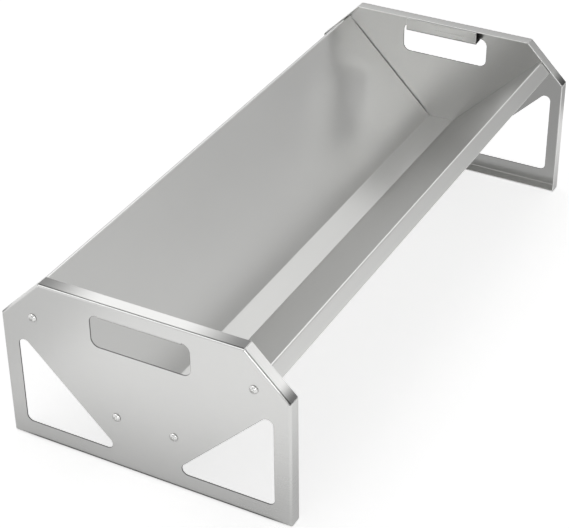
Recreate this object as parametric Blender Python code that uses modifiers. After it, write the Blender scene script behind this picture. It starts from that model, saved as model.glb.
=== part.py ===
"""A livestock feed trough of folded stainless sheet.

Two folded end plates stand on their bottom flanges and carry one long trough body. Eight button
head bolts, four at each end, go through the plate and a tab of the body into a washer and a nut.

X runs along the trough, Y across it and Z up. The origin is on the floor, below the middle.
Lengths are in metres.
"""

import math

import bmesh
import bpy
from mathutils import Matrix, Vector

# Overall sizes, over the outer faces of the sheet.
LENGTH = 0.795
PLATE_WIDTH = 0.360
PLATE_HEIGHT = 0.218

# The sheet and the way it is folded.
SHEET = 0.0015
BEND_INNER_RADIUS = 0.0015
BEND_STEPS = 6
GAP = 0.0003

# The end plate: corners clipped at 45 degrees, and a flange folded inward along every side.
CORNER_CLIP = 0.053
FLANGE = 0.017

# The hand slot, and the flap that is folded in from its upper edge to make the grip.
SLOT_WIDTH = 0.124
SLOT_BOTTOM = 0.1595
SLOT_TOP = 0.2005
SLOT_RADIUS = 0.010
GRIP_TOP = 0.2158

# The window in each foot: a triangle with an upright outer side and a 45 degree inner side.
WINDOW_OUTER = 0.1595
WINDOW_INNER = 0.0342
WINDOW_BOTTOM = 0.0223
WINDOW_RADIUS = 0.0075

# The trough body: a flat floor, 45 degree walls, and lips that lie under the clipped corners.
WALL_RISE = 0.0472
FLOOR_HALF_WIDTH = 0.018
LIP = 0.019
LIP_CLEARANCE = 0.0005

# The tab at each end of a wall. Its bolts sit at fixed places along the slope of the wall.
TAB = 0.018
TAB_CORNER = 0.004
TAB_MARGIN = 0.010
TAB_RELIEF = 0.0025
BOLT_FROM_WALL = 0.0095
LOWER_BOLT_ALONG = 0.0756
UPPER_BOLT_ALONG = 0.2180

# M6 fasteners, with clearance in place of a thread.
BOLT_DIAMETER = 0.006
BOLT_LENGTH = 0.012
HEAD_DIAMETER = 0.0105
HEAD_HEIGHT = 0.0033
HEAD_EDGE = 0.0006
SOCKET_FLATS = 0.004
SOCKET_DEPTH = 0.0018
HOLE_DIAMETER = 0.0066
WASHER_DIAMETER = 0.012
WASHER_THICKNESS = 0.0016
NUT_FLATS = 0.010
NUT_HEIGHT = 0.0052
NUT_CHAMFER = 0.0008
ROUND_STEPS = 24

# Values that follow from the sizes above.
BEND = BEND_INNER_RADIUS + SHEET / 2
PLATE_MIDDLE = LENGTH / 2 - SHEET / 2
TAB_MIDDLE = LENGTH / 2 - 1.5 * SHEET - GAP
DIAGONAL = math.sqrt(0.5)
SMOOTH_ANGLE = math.radians(32)


def rounded(corners, radius, closed):
    """Return the corners as a polyline in which each turn is an arc of the given radius."""
    points = []
    count = len(corners)
    for i in range(count):
        here = Vector(corners[i])
        if not closed and i in (0, count - 1):
            points.append(here)
            continue
        before = (Vector(corners[i - 1]) - here).normalized()
        after = (Vector(corners[(i + 1) % count]) - here).normalized()
        half = before.angle(after) / 2
        sweep = math.pi - 2 * half
        if sweep < 0.001:
            points.append(here)
            continue
        centre = here + (before + after).normalized() * radius / math.sin(half)
        spoke = here + before * radius / math.tan(half) - centre
        turn = -math.copysign(sweep, before.cross(after))
        for step in range(BEND_STEPS + 1):
            points.append(centre + Matrix.Rotation(turn * step / BEND_STEPS, 2) @ spoke)
    return points


def add_loop(bm, points):
    """Add a closed loop of edges through (y, z) points and return its vertices and edges."""
    verts = [bm.verts.new((0, y, z)) for y, z in points]
    edges = [bm.edges.new((verts[i - 1], verts[i])) for i in range(len(verts))]
    return verts, edges


def fold(bm, low, high, rows):
    """Grow a strip of sheet from the edge low-high, one face for each row of two points."""
    for low_point, high_point in rows:
        next_low = bm.verts.new(low_point)
        next_high = bm.verts.new(high_point)
        bm.faces.new((low, high, next_high, next_low))
        low, high = next_low, next_high


def bend_path(corners):
    """Return the (ahead, aside) offsets of a strip that starts with a bend at its root edge."""
    return rounded([(0, 0), (BEND, 0), *corners], BEND, closed=False)[2:]


def plate_corners():
    """Return the outline over the flanges, counter-clockwise in (y, z)."""
    half = PLATE_WIDTH / 2
    shoulder = PLATE_HEIGHT - CORNER_CLIP
    return [
        Vector((-half, 0)),
        Vector((half, 0)),
        Vector((half, shoulder)),
        Vector((half - CORNER_CLIP, PLATE_HEIGHT)),
        Vector((CORNER_CLIP - half, PLATE_HEIGHT)),
        Vector((-half, shoulder)),
    ]


def window_corners(side):
    """Return the triangle of one window; side is 1 or -1."""
    rise = WINDOW_OUTER - WINDOW_INNER
    return [
        (side * WINDOW_INNER, WINDOW_BOTTOM),
        (side * WINDOW_OUTER, WINDOW_BOTTOM),
        (side * WINDOW_OUTER, WINDOW_BOTTOM + rise),
    ]


def end_plate_surface():
    """Make the middle surface of a folded end plate; the flanges point along local +X."""
    bm = bmesh.new()
    corners = plate_corners()
    count = len(corners)
    along = [(corners[(i + 1) % count] - corners[i]).normalized() for i in range(count)]
    outward = [Vector((d.y, -d.x)) for d in along]
    inset = SHEET / 2 + BEND

    flat = []
    mitre = []
    for i, corner in enumerate(corners):
        both = outward[i - 1] + outward[i]
        flat.append(corner - both * inset / (1 + outward[i - 1].dot(outward[i])))
        mitre.append(math.tan(outward[i - 1].angle(outward[i]) / 2))
    relief = [SHEET / 2 * slope + GAP for slope in mitre]

    # Each side of the flat face stops short of its corners, which leaves the open corner slits.
    outline = []
    for i in range(count):
        after = (i + 1) % count
        outline.append(flat[i] + along[i] * relief[i])
        outline.append(flat[after] - along[i] * relief[after])
    outer_verts, edges = add_loop(bm, outline)

    half_slot = SLOT_WIDTH / 2
    slot = [
        (-half_slot, SLOT_TOP),
        (-half_slot, SLOT_BOTTOM),
        (half_slot, SLOT_BOTTOM),
        (half_slot, SLOT_TOP),
    ]
    slot_verts, slot_edges = add_loop(bm, rounded(slot, SLOT_RADIUS, closed=True))
    edges += slot_edges
    for side in (-1, 1):
        window = rounded(window_corners(side), WINDOW_RADIUS, closed=True)
        edges += add_loop(bm, window)[1]
    bmesh.ops.triangle_fill(bm, use_beauty=True, edges=edges, normal=(-1, 0, 0))

    # A flange on each side, its ends mitred so that neighbours meet at a thin slit.
    path = bend_path([(BEND, FLANGE - SHEET / 2)])
    for i in range(count):
        after = (i + 1) % count
        low, high = outer_verts[2 * i], outer_verts[2 * i + 1]
        rows = []
        for reach, depth in path:
            start = outline[2 * i] + outward[i] * reach - along[i] * reach * mitre[i]
            end = outline[2 * i + 1] + outward[i] * reach + along[i] * reach * mitre[after]
            rows.append(((depth, *start), (depth, *end)))
        fold(bm, low, high, rows)

    # The grip: the flap goes in from the slot's straight upper edge, then up behind the flange.
    depth = FLANGE - SHEET
    rise = GRIP_TOP - SLOT_TOP
    left, right = slot_verts[0], slot_verts[-1]
    rows = []
    for drop, inward in bend_path([(BEND, depth), (-rise, depth)]):
        rows.append(
            (
                (inward, left.co.y, SLOT_TOP - drop),
                (inward, right.co.y, SLOT_TOP - drop),
            )
        )
    fold(bm, left, right, rows)
    return finish_surface(bm, "end_plate")


def wall_point(along, outward, side):
    """Return (y, z) of a point at a distance along the wall's slope and out from its inside."""
    inner = Vector((along * DIAGONAL - WALL_RISE / 2, along * DIAGONAL + WALL_RISE / 2))
    y, z = inner + Vector((DIAGONAL, -DIAGONAL)) * outward
    return Vector((side * y, z))


def lip_along():
    """Return how far up the wall's slope the middle of the lip's sheet lies."""
    corner_sum = PLATE_HEIGHT + PLATE_WIDTH / 2 - CORNER_CLIP
    return corner_sum * DIAGONAL - 1.5 * SHEET - LIP_CLEARANCE


def body_section():
    """Return the trough's middle line in (y, z) for the +Y half, from the floor to the lip."""
    middle = SHEET / 2
    floor_corner = Vector((FLOOR_HALF_WIDTH, FLOOR_HALF_WIDTH + WALL_RISE))
    floor_corner += Vector((middle * math.tan(math.radians(22.5)), -middle))
    marks = [
        LOWER_BOLT_ALONG - TAB_MARGIN - TAB_RELIEF,
        LOWER_BOLT_ALONG - TAB_MARGIN,
        UPPER_BOLT_ALONG + TAB_MARGIN,
        UPPER_BOLT_ALONG + TAB_MARGIN + TAB_RELIEF,
    ]
    wall = [wall_point(mark, middle, 1) for mark in marks]
    rim = wall_point(lip_along(), middle, 1)
    lip_end = wall_point(lip_along(), LIP, 1)
    return [floor_corner, *wall, rim, lip_end]


def trough_body_surface():
    """Make the middle surface of the trough body with its tabs at both ends."""
    bm = bmesh.new()
    half = body_section()
    corners = [Vector((-y, z)) for y, z in reversed(half)] + half
    section = rounded(corners, BEND, closed=False)
    straight_end = TAB_MIDDLE - BEND
    verts = [bm.verts.new((-straight_end, y, z)) for y, z in section]
    profile = [bm.edges.new(pair) for pair in zip(verts, verts[1:])]
    grown = bmesh.ops.extrude_edge_only(bm, edges=profile)["geom"]
    moved = [item for item in grown if isinstance(item, bmesh.types.BMVert)]
    bmesh.ops.translate(bm, verts=moved, vec=(2 * straight_end, 0, 0))

    tab_low = LOWER_BOLT_ALONG - TAB_MARGIN
    tab_high = UPPER_BOLT_ALONG + TAB_MARGIN
    wall_top = lip_along() - BEND
    bm.edges.ensure_lookup_table()
    for end in (-1, 1):
        tabs, closing = [], []
        for edge in bm.edges:
            if any(abs(vert.co.x - end * straight_end) > GAP for vert in edge.verts):
                continue
            middle = (edge.verts[0].co + edge.verts[1].co) / 2
            along = (abs(middle.y) + middle.z) * DIAGONAL
            if tab_low < along < tab_high:
                tabs.append(edge)
            elif along < tab_low - TAB_RELIEF or tab_high + TAB_RELIEF < along < wall_top:
                closing.append(edge)
        for edge in tabs:
            add_tab(bm, edge, end)
        # The floor and the top of each wall run on until they almost touch the plate.
        grown = bmesh.ops.extrude_edge_only(bm, edges=closing)["geom"]
        moved = [item for item in grown if isinstance(item, bmesh.types.BMVert)]
        reach = LENGTH / 2 - SHEET - GAP - straight_end
        bmesh.ops.translate(bm, verts=moved, vec=(end * reach, 0, 0))
    return finish_surface(bm, "trough_body")


def add_tab(bm, edge, end):
    """Fold a tab with rounded corners outward from the end of a wall."""
    low, high = sorted(edge.verts, key=lambda vert: vert.co.z)
    side = math.copysign(1, low.co.y)
    outward = Vector((0, side * DIAGONAL, -DIAGONAL))
    slope = (high.co - low.co).normalized()
    path = [(ahead, aside, 0.0) for ahead, aside in bend_path([(BEND, TAB - TAB_CORNER)])]
    for step in range(1, BEND_STEPS + 1):
        angle = math.pi / 2 * step / BEND_STEPS
        aside = TAB + TAB_CORNER * (math.sin(angle) - 1)
        path.append((BEND, aside, TAB_CORNER * (1 - math.cos(angle))))
    rows = []
    for ahead, aside, inset in path:
        offset = Vector((end * ahead, 0, 0)) + outward * aside
        rows.append((low.co + offset + slope * inset, high.co + offset - slope * inset))
    fold(bm, low, high, rows)


def finish_surface(bm, name):
    """Turn an open surface into a mesh whose faces all point the same way."""
    bmesh.ops.remove_doubles(bm, verts=bm.verts, dist=0.00001)
    bmesh.ops.recalc_face_normals(bm, faces=bm.faces)
    mesh = bpy.data.meshes.new(name)
    bm.to_mesh(mesh)
    bm.free()
    mesh.shade_smooth()
    mesh.set_sharp_from_angle(angle=SMOOTH_ANGLE)
    return mesh


def new_material(name, colour, roughness):
    """Make the material of one kind of sub-part."""
    material = bpy.data.materials.new(name)
    material.use_nodes = True
    shader = material.node_tree.nodes["Principled BSDF"]
    shader.inputs["Base Color"].default_value = (*colour, 1.0)
    shader.inputs["Metallic"].default_value = 1.0
    shader.inputs["Roughness"].default_value = roughness
    material.diffuse_color = (*colour, 1.0)
    return material


def place(name, mesh, collection, matrix=Matrix()):
    """Add an object to a collection at a place."""
    thing = bpy.data.objects.new(name, mesh)
    thing.matrix_world = matrix
    collection.objects.link(thing)
    return thing


def cutter(name, mesh, collection, matrix=Matrix()):
    """Add an object that only shapes others."""
    thing = place(name, mesh, collection, matrix)
    thing.hide_render = True
    thing.display_type = "WIRE"
    return thing


def thicken(thing):
    """Give a middle surface the thickness of the sheet."""
    solid = thing.modifiers.new("sheet", "SOLIDIFY")
    solid.thickness = SHEET
    solid.offset = 0
    solid.use_even_offset = True


def boolean(thing, operation, tool):
    """Cut or intersect an object with a cutter."""
    modifier = thing.modifiers.new(tool.name, "BOOLEAN")
    modifier.operation = operation
    modifier.solver = "EXACT"
    modifier.object = tool


def turned(name, profile, collection):
    """Make a turned piece about Z; the profile runs down its outer side in (radius, height)."""
    bm = bmesh.new()
    verts = [bm.verts.new((radius, 0, height)) for radius, height in profile]
    for pair in zip(verts, verts[1:]):
        bm.edges.new(pair)
    if profile[0][0] > 0:
        bm.edges.new((verts[-1], verts[0]))
    mesh = bpy.data.meshes.new(name)
    bm.to_mesh(mesh)
    bm.free()
    thing = place(name, mesh, collection)
    screw = thing.modifiers.new("turn", "SCREW")
    screw.steps = ROUND_STEPS
    screw.render_steps = ROUND_STEPS
    screw.use_merge_vertices = True
    screw.merge_threshold = 0.00001
    screw.use_smooth_shade = True
    return thing


def prism(name, flats, height, base, collection):
    """Make a hexagonal prism about Z, measured across its flats."""
    bm = bmesh.new()
    radius = flats / math.sqrt(3)
    bmesh.ops.create_cone(
        bm, cap_ends=True, segments=6, radius1=radius, radius2=radius, depth=height
    )
    bmesh.ops.translate(bm, verts=bm.verts, vec=(0, 0, base + height / 2))
    mesh = bpy.data.meshes.new(name)
    bm.to_mesh(mesh)
    bm.free()
    return cutter(name, mesh, collection)


def baked(thing, material):
    """Apply an object's modifiers, remove the object, and return the finished mesh."""
    graph = bpy.context.evaluated_depsgraph_get()
    mesh = bpy.data.meshes.new_from_object(thing.evaluated_get(graph))
    mesh.name = thing.name
    bpy.data.objects.remove(thing)
    mesh.shade_smooth()
    mesh.set_sharp_from_angle(angle=SMOOTH_ANGLE)
    mesh.materials.clear()
    mesh.materials.append(material)
    return mesh


def bolt_mesh(cutters, material):
    """Make a button head bolt: head above Z = 0, shank below it."""
    head = HEAD_DIAMETER / 2
    shank = BOLT_DIAMETER / 2
    # The dome is an arc through the top of the head and the top of its short upright edge.
    rise = HEAD_HEIGHT - HEAD_EDGE
    dome = (head * head + rise * rise) / (2 * rise)
    spread = math.asin(head / dome)
    profile = []
    for step in range(BEND_STEPS + 1):
        angle = spread * step / BEND_STEPS
        profile.append((dome * math.sin(angle), HEAD_HEIGHT - dome * (1 - math.cos(angle))))
    tip = shank / 6
    profile += [
        (head, 0),
        (shank, 0),
        (shank, tip - BOLT_LENGTH),
        (shank - tip, -BOLT_LENGTH),
        (0, -BOLT_LENGTH),
    ]
    bolt = turned("bolt", profile, cutters)
    floor = HEAD_HEIGHT - SOCKET_DEPTH
    socket = prism("hex_socket", SOCKET_FLATS, SOCKET_DEPTH * 2, floor, cutters)
    boolean(bolt, "DIFFERENCE", socket)
    return baked(bolt, material)


def ring_profile(outer, height, chamfer):
    """Return the closed section of a ring with the fastener's bore and chamfered outer edges."""
    bore = HOLE_DIAMETER / 2
    return [
        (bore, height),
        (outer - chamfer, height),
        (outer, height - chamfer / 2),
        (outer, chamfer / 2),
        (outer - chamfer, 0),
        (bore, 0),
    ]


def washer_mesh(cutters, material):
    """Make a flat washer that stands on Z = 0."""
    edge = WASHER_THICKNESS / 8
    profile = ring_profile(WASHER_DIAMETER / 2, WASHER_THICKNESS, edge)
    return baked(turned("washer", profile, cutters), material)


def nut_mesh(cutters, material):
    """Make a hexagon nut that stands on Z = 0, its corners chamfered at both faces."""
    across_corners = NUT_FLATS / math.sqrt(3)
    profile = ring_profile(across_corners, NUT_HEIGHT, NUT_CHAMFER)
    nut = turned("nut", profile, cutters)
    hexagon = prism("hexagon", NUT_FLATS, NUT_HEIGHT * 2, -NUT_HEIGHT / 2, cutters)
    boolean(nut, "INTERSECT", hexagon)
    return baked(nut, material)


def bolt_places():
    """Return the place in the name and (y, z) of each bolt of one end."""
    places = {}
    for side_name, side in (("front", -1), ("back", 1)):
        lower = wall_point(LOWER_BOLT_ALONG, BOLT_FROM_WALL, side)
        upper = wall_point(UPPER_BOLT_ALONG, BOLT_FROM_WALL, side)
        places[f"{side_name}_lower"] = lower
        places[f"{side_name}_upper"] = upper
    return places


def bolt_holes(cutters):
    """Make the drill that cuts all the bolt holes of one end, through plate and tab."""
    bm = bmesh.new()
    along_x = Matrix.Rotation(math.pi / 2, 4, "Y")
    for y, z in bolt_places().values():
        bmesh.ops.create_cone(
            bm,
            cap_ends=True,
            segments=ROUND_STEPS,
            radius1=HOLE_DIAMETER / 2,
            radius2=HOLE_DIAMETER / 2,
            depth=FLANGE,
            matrix=Matrix.Translation((0, y, z)) @ along_x,
        )
    mesh = bpy.data.meshes.new("bolt_holes")
    bm.to_mesh(mesh)
    bm.free()
    return [
        cutter(f"bolt_holes_{name}", mesh, cutters, Matrix.Translation((end * PLATE_MIDDLE, 0, 0)))
        for name, end in (("left", -1), ("right", 1))
    ]


def add_end_plates(parts, drills, material):
    """Place both end plates; the right one is the left one turned half way round."""
    mesh = end_plate_surface()
    mesh.materials.append(material)
    left = place("end_plate_left", mesh, parts, Matrix.Translation((-PLATE_MIDDLE, 0, 0)))
    half_turn = Matrix.Rotation(math.pi, 4, "Z")
    right_place = Matrix.Translation((PLATE_MIDDLE, 0, 0)) @ half_turn
    right = place("end_plate_right", mesh, parts, right_place)
    for plate, drill in zip((left, right), drills):
        thicken(plate)
        boolean(plate, "DIFFERENCE", drill)


def add_trough_body(parts, drills, material):
    """Place the trough body and drill its tabs."""
    mesh = trough_body_surface()
    mesh.materials.append(material)
    body = place("trough_body", mesh, parts)
    thicken(body)
    for drill in drills:
        boolean(body, "DIFFERENCE", drill)


def add_fasteners(parts, cutters):
    """Place a bolt, a washer and a nut at each of the eight bolt places."""
    bolt = bolt_mesh(cutters, new_material("bolt_steel", (0.72, 0.72, 0.71), 0.22))
    washer = washer_mesh(cutters, new_material("washer_steel", (0.60, 0.60, 0.60), 0.35))
    nut = nut_mesh(cutters, new_material("nut_steel", (0.55, 0.55, 0.55), 0.32))
    for end_name, end in (("left", -1), ("right", 1)):
        # Local Z of a fastener points outward along the trough.
        outward = Matrix.Rotation(end * math.pi / 2, 4, "Y")
        head_seat = LENGTH / 2 + GAP
        washer_seat = TAB_MIDDLE - SHEET / 2 - GAP - WASHER_THICKNESS
        nut_seat = washer_seat - GAP - NUT_HEIGHT
        for place_name, (y, z) in bolt_places().items():
            for kind, mesh, seat in (
                ("bolt", bolt, head_seat),
                ("washer", washer, washer_seat),
                ("nut", nut, nut_seat),
            ):
                matrix = Matrix.Translation((end * seat, y, z)) @ outward
                place(f"{kind}_{end_name}_{place_name}", mesh, parts, matrix)


def new_collection(name):
    """Make a collection under the scene."""
    collection = bpy.data.collections.new(name)
    bpy.context.scene.collection.children.link(collection)
    return collection


def main():
    """Build the trough."""
    for thing in list(bpy.data.objects):
        bpy.data.objects.remove(thing)
    parts = new_collection("feed_trough")
    cutters = new_collection("cutters")
    drills = bolt_holes(cutters)
    add_end_plates(parts, drills, new_material("plate_steel", (0.62, 0.62, 0.61), 0.30))
    add_trough_body(parts, drills, new_material("body_steel", (0.56, 0.56, 0.55), 0.34))
    add_fasteners(parts, cutters)


main()
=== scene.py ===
"""A livestock feed trough of satin stainless sheet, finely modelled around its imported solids.

Two folded end plates stand on their bottom flanges and carry one trough body between them. Eight
button head bolts, each with a washer and a nut, hold the body's tabs to the plates.

X runs along the trough, Y across it and Z up. The origin is on the floor, below the middle. Lengths
are in metres. The end at -X is the left one, and the side at -Y is the front.
"""

import logging
import math
from collections.abc import Callable, Iterator
from contextlib import contextmanager
from dataclasses import dataclass, field, replace
from enum import Enum, IntEnum

import bmesh
import bpy
from mathutils import Matrix, Vector


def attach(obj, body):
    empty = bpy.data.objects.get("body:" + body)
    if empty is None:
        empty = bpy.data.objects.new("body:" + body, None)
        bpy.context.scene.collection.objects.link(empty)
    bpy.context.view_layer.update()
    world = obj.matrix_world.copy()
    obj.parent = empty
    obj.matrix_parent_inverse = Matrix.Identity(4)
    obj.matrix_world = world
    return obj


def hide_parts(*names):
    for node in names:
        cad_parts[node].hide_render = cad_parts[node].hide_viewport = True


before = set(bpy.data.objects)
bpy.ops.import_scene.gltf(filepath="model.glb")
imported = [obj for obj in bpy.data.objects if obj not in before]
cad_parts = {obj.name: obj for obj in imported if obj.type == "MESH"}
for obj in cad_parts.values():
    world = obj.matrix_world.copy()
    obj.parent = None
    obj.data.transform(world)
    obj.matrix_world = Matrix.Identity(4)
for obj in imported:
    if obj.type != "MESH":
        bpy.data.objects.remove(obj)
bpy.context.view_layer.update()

log = logging.getLogger("feed_trough")

PICTURE_WIDTH = 569
BODY = "root"
WHITE = (1.0, 1.0, 1.0, 1.0)
# Places closer together than this count as one place.
TINY = 0.00002
ROOT_TWO = math.sqrt(2)
# One over the root of two: turns Y and Z into distances along and across a 45 degree slope.
DIAGONAL = math.sqrt(0.5)
ROOT_THREE = math.sqrt(3)
QUARTER_TURN = math.pi / 2
TRIANGLE = 3
HEXAGON = 6
# In a fold of 45 degrees, the bend starts this far from the corner, for a radius of 1.
HALF_FOLD = math.tan(math.pi / 8)
# In a fold of 45 degrees, the corner is this far from the bend's centre, for a radius of 1.
FOLD_CORNER = 1.0824
# Edges that turn by more than this are sharp, and get eased.
SHARP = math.radians(40)
# How strongly large faces rule the shading of the eased edges beside them, in percent.
FLATNESS = 60


class Element(Enum):
    """What is picked in edit mode."""

    VERTEX = "VERT"
    EDGE = "EDGE"
    FACE = "FACE"


class Cut(Enum):
    """What is kept of two workpieces that run through each other."""

    AWAY = "DIFFERENCE"
    COMMON = "INTERSECT"
    TOGETHER = "UNION"


class End(IntEnum):
    """An end of the trough, with the side of the origin that it is on along X."""

    LEFT = -1
    RIGHT = 1


class Side(IntEnum):
    """A long side of the trough, with the side of the origin that it is on along Y."""

    FRONT = -1
    BACK = 1


class Surface(IntEnum):
    """A material slot of a piece of folded sheet."""

    FACE = 0
    EASED = 1
    FREE_EDGE = 2
    CUT_WALL = 3


class Kind(Enum):
    """A kind of fastener."""

    BOLT = "bolt"
    WASHER = "washer"
    NUT = "nut"


def direction(azimuth: float, elevation: float) -> Vector:
    """Point away from the origin.

    Args:
        azimuth: The angle from +X toward +Y, in degrees.
        elevation: The angle above the floor, in degrees.

    Returns:
        The direction, one unit long.
    """
    turn, rise = math.radians(azimuth), math.radians(elevation)
    level = math.cos(rise)
    return Vector((math.cos(turn) * level, math.sin(turn) * level, math.sin(rise)))


class Workpiece:
    """One mesh on the bench, shaped with Blender's modelling tools."""

    def __init__(self, thing: bpy.types.Object) -> None:
        """Take hold of an object.

        Args:
            thing: The mesh object to work on.
        """
        self.thing = thing

    @classmethod
    def taken(cls, name: str) -> "Workpiece":
        """Take the object that was just added, with its place moved into its mesh.

        Args:
            name: The object's new name.

        Returns:
            The workpiece.
        """
        piece = cls(bpy.context.active_object)
        piece.thing.name = name
        piece.settle()
        return piece

    @classmethod
    def block(cls, name: str, centre: Vector, size: Vector, angle: float = 0.0) -> "Workpiece":
        """Start from a block.

        Args:
            name: The object's name.
            centre: The middle of the block.
            size: Its size before it is turned.
            angle: Its turn about X, in radians.

        Returns:
            The block.
        """
        bpy.ops.mesh.primitive_cube_add(size=1, location=centre, rotation=(angle, 0, 0), scale=size)
        return cls.taken(name)

    @classmethod
    def bar(
        cls, name: str, centre: Vector, radius: float, depth: float, sides: int, lying: bool = False
    ) -> "Workpiece":
        """Start from a round or hexagonal bar.

        Args:
            name: The object's name.
            centre: The middle of the bar.
            radius: Its radius, to the corners.
            depth: Its length.
            sides: The number of its sides.
            lying: True for a bar along X, false for one along Z.

        Returns:
            The bar.
        """
        turn = (0, QUARTER_TURN, 0) if lying else (0, 0, 0)
        bpy.ops.mesh.primitive_cylinder_add(
            vertices=sides, radius=radius, depth=depth, location=centre, rotation=turn
        )
        return cls.taken(name)

    @classmethod
    def rounded_plug(
        cls, name: str, centres: list[Vector], radius: float, depth: float, sides: int
    ) -> "Workpiece":
        """Wrap a hull round bars along X, which gives a plug with rounded corners.

        Args:
            name: The object's name.
            centres: The middles of the bars.
            radius: The radius of the corners.
            depth: The plug's depth along X.
            sides: The number of sides of a whole turn.

        Returns:
            The plug.
        """
        bars = [cls.bar(name, centre, radius, depth, sides, lying=True) for centre in centres]
        plug = bars[0].joined(bars[1:])
        with plug.editing():
            bpy.ops.mesh.select_all(action="SELECT")
            bpy.ops.mesh.convex_hull()
        return plug

    def hold(self) -> None:
        """Select this object alone and make it active."""
        bpy.ops.object.select_all(action="DESELECT")
        self.thing.select_set(True)
        bpy.context.view_layer.objects.active = self.thing

    def settle(self) -> None:
        """Move the object's place, turn and scale into its mesh."""
        self.hold()
        bpy.ops.object.transform_apply(location=True, rotation=True, scale=True)

    def joined(self, others: list["Workpiece"]) -> "Workpiece":
        """Join other workpieces into this one.

        Args:
            others: The workpieces that are used up.

        Returns:
            This workpiece.
        """
        self.hold()
        for other in others:
            other.thing.select_set(True)
        bpy.ops.object.join()
        return self

    def scrap(self) -> None:
        """Throw the object away."""
        bpy.data.objects.remove(self.thing)

    @contextmanager
    def editing(self) -> Iterator[None]:
        """Keep the object in edit mode for as long as the block runs."""
        self.hold()
        bpy.ops.object.mode_set(mode="EDIT")
        yield
        bpy.ops.object.mode_set(mode="OBJECT")

    def pick(self, element: Element, test: Callable[[Vector], bool]) -> None:
        """Select, in edit mode, the elements that lie where the test says.

        Args:
            element: What to select.
            test: True for a place that counts. A face is tested at its middle, and an edge at
                both of its ends.
        """
        bpy.ops.mesh.select_mode(type=element.value)
        bpy.ops.mesh.select_all(action="DESELECT")
        mesh = bmesh.from_edit_mesh(self.thing.data)
        if element is Element.VERTEX:
            found = [vert for vert in mesh.verts if test(vert.co)]
        elif element is Element.EDGE:
            found = [edge for edge in mesh.edges if all(test(vert.co) for vert in edge.verts)]
        else:
            found = [face for face in mesh.faces if test(face.calc_center_median())]
        for item in found:
            item.select_set(True)
        bmesh.update_edit_mesh(self.thing.data)

    def apply(self, kind: str, **settings: object) -> None:
        """Add a modifier and apply it.

        Args:
            kind: Blender's name for the kind of modifier.
            settings: The modifier's settings.
        """
        self.hold()
        modifier = self.thing.modifiers.new(kind, kind)
        for name, value in settings.items():
            setattr(modifier, name, value)
        bpy.ops.object.modifier_apply(modifier=modifier.name)

    def cut(self, tool: "Workpiece", cut: Cut = Cut.AWAY) -> None:
        """Cut this workpiece with another, or join the two, and scrap the other.

        Args:
            tool: The other workpiece.
            cut: What is kept of the two.
        """
        self.apply("BOOLEAN", operation=cut.value, solver="EXACT", object=tool.thing)
        tool.scrap()

    def thicken(self) -> None:
        """Give a middle surface the thickness of the sheet."""
        self.apply("SOLIDIFY", thickness=SHEET.thickness, offset=0, use_even_offset=True)

    def tidy(self) -> None:
        """Merge the corners that a cut left almost on top of each other."""
        with self.editing():
            bpy.ops.mesh.select_all(action="SELECT")
            bpy.ops.mesh.remove_doubles(threshold=TINY)
            bpy.ops.mesh.dissolve_degenerate(threshold=TINY)

    def ease(self, width: float, steps: int, surface: Surface = Surface.FACE) -> None:
        """Round every sharp edge a little and shade the faces smoothly.

        Args:
            width: How far the rounding reaches from the edge.
            steps: The number of faces across it.
            surface: The material slot of the rounded edges.
        """
        self.hold()
        self.apply(
            "BEVEL",
            width=width,
            segments=steps,
            limit_method="ANGLE",
            angle_limit=SHARP,
            use_clamp_overlap=False,
            material=surface,
        )
        bpy.ops.object.shade_smooth()
        self.apply("WEIGHTED_NORMAL", weight=FLATNESS, keep_sharp=False)

    def unfold(self, rule: Callable[[Vector, Vector], tuple[float, float]]) -> None:
        """Give the mesh a UV map that lies flat on the blank it was cut from, in metres.

        Args:
            rule: The place on the blank of a point of the mesh, from its place and its face's
                normal.
        """
        mesh = self.thing.data
        spare = [layer.name for layer in mesh.uv_layers if layer.name != Finish.MAP]
        if Finish.MAP not in mesh.uv_layers:
            mesh.uv_layers.new(name=Finish.MAP)
        for name in spare:
            mesh.uv_layers.remove(mesh.uv_layers[name])
        layer = mesh.uv_layers[Finish.MAP]
        for face in mesh.polygons:
            for loop in face.loop_indices:
                place = mesh.vertices[mesh.loops[loop].vertex_index].co
                layer.data[loop].uv = rule(place, face.normal)

    def copied(self, name: str, matrix: Matrix) -> "Workpiece":
        """Copy the workpiece, with a mesh of its own, to another place.

        Args:
            name: The copy's name.
            matrix: Where the copy goes.

        Returns:
            The copy.
        """
        self.hold()
        bpy.ops.object.duplicate(linked=False)
        copy = Workpiece(bpy.context.active_object)
        copy.thing.name = name
        copy.thing.matrix_world = matrix
        copy.settle()
        return copy

    def dress(self, materials: list[bpy.types.Material]) -> None:
        """Put materials in the first slots, in order, and leave the other slots as they are.

        Args:
            materials: The materials.
        """
        slots = self.thing.data.materials
        for number, material in enumerate(materials):
            if number < len(slots):
                slots[number] = material
            else:
                slots.append(material)

    def paint(self, surface: Surface, test: Callable[[Vector], bool]) -> None:
        """Give some faces the material of another slot.

        Args:
            surface: The material slot.
            test: True for the middle of a face that counts.
        """
        with self.editing():
            self.pick(Element.FACE, test)
            self.thing.active_material_index = surface
            bpy.ops.object.material_slot_assign()

    def install(self, node: str, slot: str) -> None:
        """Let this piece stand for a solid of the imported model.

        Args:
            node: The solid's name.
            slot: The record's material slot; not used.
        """
        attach(self.thing, BODY)
        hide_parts(node)
        log.info("%s stands for %s, %d faces", self.thing.name, node, len(self.thing.data.polygons))


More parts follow.
